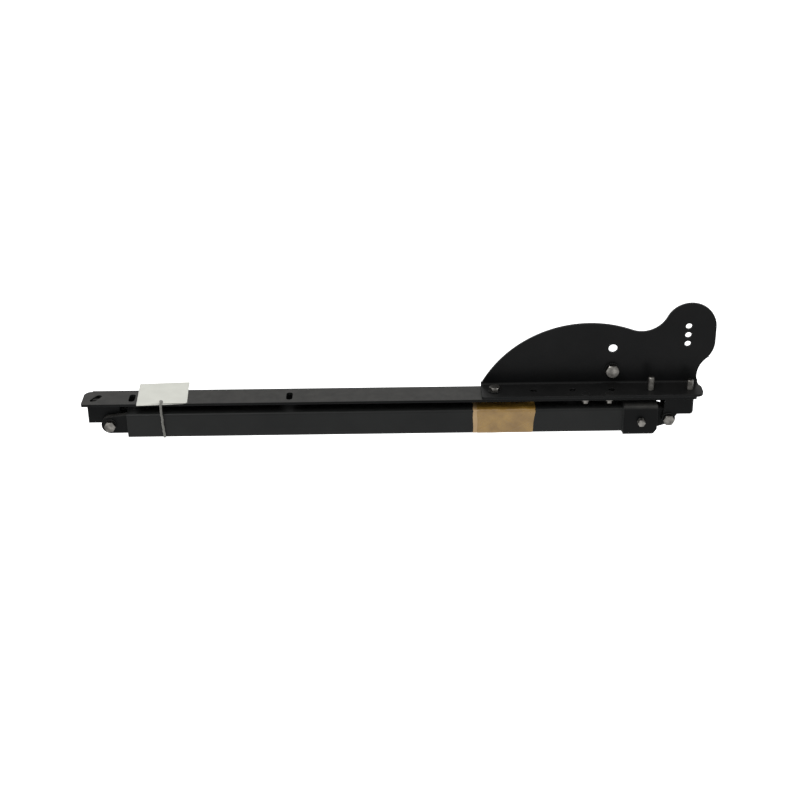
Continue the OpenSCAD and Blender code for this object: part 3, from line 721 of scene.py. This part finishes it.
def metal(name, bright, dull, rough, grain):
    """A metal whose colour and roughness drift together."""
    f = Finish(name)
    bloom = f.noise(grain, 3, 0.5)
    fine = f.noise(grain * 20, 3, 0.6)
    edge = f.add("ShaderNodeBevel", samples=4, radius=0.5 * MM)
    colour = f.mix(f.spread(bloom, 0, 1), bright, dull)
    return f.set(colour=colour, metal=1.0, rough=f.spread(bloom, rough, rough + 0.14),
                 normal=f.bump(fine, 0.06, 0.05 * MM, edge.outputs[0]))


zinc = metal("dull_zinc", (0.180, 0.173, 0.160), (0.070, 0.067, 0.062), rough=0.26, grain=95)
bronze = metal("oiled_bronze", (0.55, 0.36, 0.15), (0.30, 0.18, 0.07), rough=0.36, grain=180)
n = Finish("milky_nylon")
milky = n.mix(n.spread(n.noise(140, 4), 0, 1), (0.72, 0.72, 0.66), (0.62, 0.62, 0.56))
nylon = n.set(colour=milky, rough=0.42, sub=0.08, normal=n.bump(n.noise(900, 2), 0.08, 0.05 * MM))
print("metals", zinc.name, bronze.name, nylon.name)

# %% [markdown]
# ## Card, twine and brown paper
# Card and paper are mats of fibres. Fibres could be drawn as thin curves, but
# stretching a noise along one direction gives thousands of them for nothing,
# and a second, larger noise clouds the sheet. The brown paper of the wrap is
# pressed smooth on one side, so it has a weak gloss that catches the light on
# its creases.

# %% Make the papers and the twine


def stretched(f, along):
    """Object coordinates scaled by along, to draw the noise out as fibres."""
    node = f.add("ShaderNodeMapping")
    node.inputs["Scale"].default_value = along
    f.link(f.coord, node.inputs["Vector"])
    return node.outputs[0]


def paper(name, light, dark, fibre, rough, coat, crinkle):
    """A sheet of fibres: clouded colour, drawn-out grain and fine crinkles."""
    f = Finish(name)
    grain = f.noise(1500, 5, 0.7, stretched(f, fibre))
    cloud = f.noise(38, 5, 0.6)
    colour = f.mix(f.spread(cloud, 0, 1), light, dark)
    colour = f.mix(f.spread(grain, 0, 0.28), colour, dark)
    lumps = f.bump(f.noise(130, 6, 0.62), crinkle, 0.6 * MM)
    return f.set(colour=colour, rough=f.spread(cloud, rough, rough + 0.12), coat=coat, coat_rough=0.35,
                 normal=f.bump(grain, 0.2, 0.06 * MM, lumps))


card = paper("card", (0.385, 0.388, 0.352), (0.36, 0.362, 0.33),
             fibre=(1, 0.2, 1), rough=0.6, coat=0.0, crinkle=0.05)
kraft = paper("brown_paper", (0.200, 0.116, 0.022), (0.132, 0.072, 0.012),
              fibre=(1, 0.12, 0.12), rough=0.24, coat=0.14, crinkle=0.75)
pale_kraft = paper("pale_brown_paper", (0.27, 0.180, 0.085), (0.22, 0.140, 0.062),
                   fibre=(1, 0.12, 0.12), rough=0.5, coat=0.0, crinkle=0.35)
t = Finish("twine")
fibres = t.noise(2600, 4, 0.7, stretched(t, (1, 1, 0.35)))
yarn = t.mix(t.spread(fibres, 0, 1), (0.05, 0.049, 0.043), (0.115, 0.112, 0.099))
twine = t.set(colour=yarn, rough=0.85, sheen=0.25, normal=t.bump(fibres, 0.5, 0.2 * MM))
print("papers", card.name, kraft.name, twine.name)

# %% [markdown]
# ## Giving each piece its finish
# Every node and piece needs a finish of its own kind. They could be dressed one
# by one where they are made, but the record of the model already says which
# slot each node belongs to. So one loop dresses the nodes, a second dresses the
# new pieces from a list, and none is forgotten.

# %% Dress the nodes and the pieces
finishes = {
    "plate_paint": plate_paint, "arm_paint": arm_paint, "tube_paint": tube_paint, "zinc_fastener": zinc,
    "bronze_bush": bronze, "nylon": nylon, "tag_card": card, "wrap_paper": kraft, "tag_twine": twine,
}
slot_of = {s["node"]: s["material_slot"] for s in frame["record"]["subparts"]}


def dress(piece, finish):
    """Puts one finish in a piece's first and only material slot."""
    piece.data.materials.clear()
    piece.data.materials.append(finish)


for name, node in frame["nodes"].items():
    dress(node, finishes[slot_of[name]])
pieces = {
    "tag_twine": twine, "tag_knot": twine, "tag_upper_leaf": card, "tag_lower_leaf": card,
    "paper_band_left": pale_kraft, "paper_band_right": kraft, "elbow_lock_ring": nylon,
    "gate_lock_ring": nylon, "lug_weld_1": arm_paint, "lug_weld_2": arm_paint,
    "collar_weld": tube_paint, "stud_thread": zinc, "short_stud_thread": zinc,
    "elbow_bolt_thread": zinc, "gate_bolt_thread": zinc, "hub_bolt_thread": zinc,
    "clamp_screw_thread": zinc, "countersunk_thread_1": zinc, "countersunk_thread_2": zinc,
}
for name, finish in pieces.items():
    dress(bpy.data.objects[name], finish)
print("dressed", len(frame["nodes"]), "nodes and", len(pieces), "pieces")

# %% [markdown]
# ## Floor
# The arm hangs from its operator holes and its lower half swings down when the
# elbow opens, so a floor right under the folded arm would hide the open one. We
# put it below the longest reach that the joints allow. It is a plain pale sheet
# that glows a little, because a black satin object is drawn by what it reflects.

# %% Build the floor
FLOOR_HALF = 14.0
FLOOR_GLOW = 0.62


def studio_floor(height):
    """A wide pale floor, made as a grid so that its colour can drift."""
    steps = np.linspace(-FLOOR_HALF, FLOOR_HALF, 20)
    x, y = np.meshgrid(steps, steps)
    points = np.stack([x, y, np.full_like(x, height)], -1)
    mesh = bpy.data.meshes.new("floor")
    mesh.from_pydata(points.reshape(-1, 3).tolist(), [], grid_faces(*x.shape, False).tolist())
    floor = bpy.data.objects.new("floor", mesh)
    bpy.context.collection.objects.link(floor)
    f = Finish("floor")
    drift = f.spread(f.noise(1.2), 0, 1)
    f.set(colour=f.mix(drift, (0.80, 0.80, 0.80), (0.78, 0.78, 0.78)), rough=0.9)
    f.shader.inputs["Emission Color"].default_value = (1, 1, 1, 1)
    f.shader.inputs["Emission Strength"].default_value = FLOOR_GLOW
    dress(floor, f.mat)
    return floor


joints = {joint["name"]: joint for joint in frame["record"]["behaviour"]["joints"]}
elbow_at = joints["elbow_pivot"]["pos_m"]
swing = cad_high[0] - elbow_at[0] + joints["extension_slide"]["range_m"][1]
floor = studio_floor(elbow_at[2] - swing - 50 * MM)
print("swing of the lower arm", round(swing, 3), "m, floor at", round(floor.data.vertices[0].co.z, 3))

# %% [markdown]
# ## Light
# A bright, even room lights the object from all round, and could do so alone,
# but then nothing would stand out. One large soft light above the left end
# shapes the bolt heads, and another overhead draws the arm's flat top lighter
# than its front.

# %% Set the lights


def soft_light(name, place, target, size, power):
    """A square area light at place that faces target."""
    data = bpy.data.lights.new(name, "AREA")
    data.size = size
    data.energy = power
    lamp = bpy.data.objects.new(name, data)
    facing = (target - place).to_track_quat("-Z", "Y").to_matrix().to_4x4()
    lamp.matrix_world = Matrix.Translation(place) @ facing
    bpy.context.collection.objects.link(lamp)
    return lamp


world = bpy.data.worlds.new("studio")
world.use_nodes = True
sky = world.node_tree.nodes["Background"]
sky.inputs["Color"].default_value = (1, 1, 1, 1)
sky.inputs["Strength"].default_value = 1.0
bpy.context.scene.world = world
bpy.context.scene.view_settings.view_transform = "Standard"
soft_light("key", Vector((-1.8, -1.6, 2.6)), aim, size=1.6, power=55)
soft_light("top", Vector((0.4, 0.5, 3.0)), aim, size=2.4, power=45)
print("lights", len(bpy.data.lights))
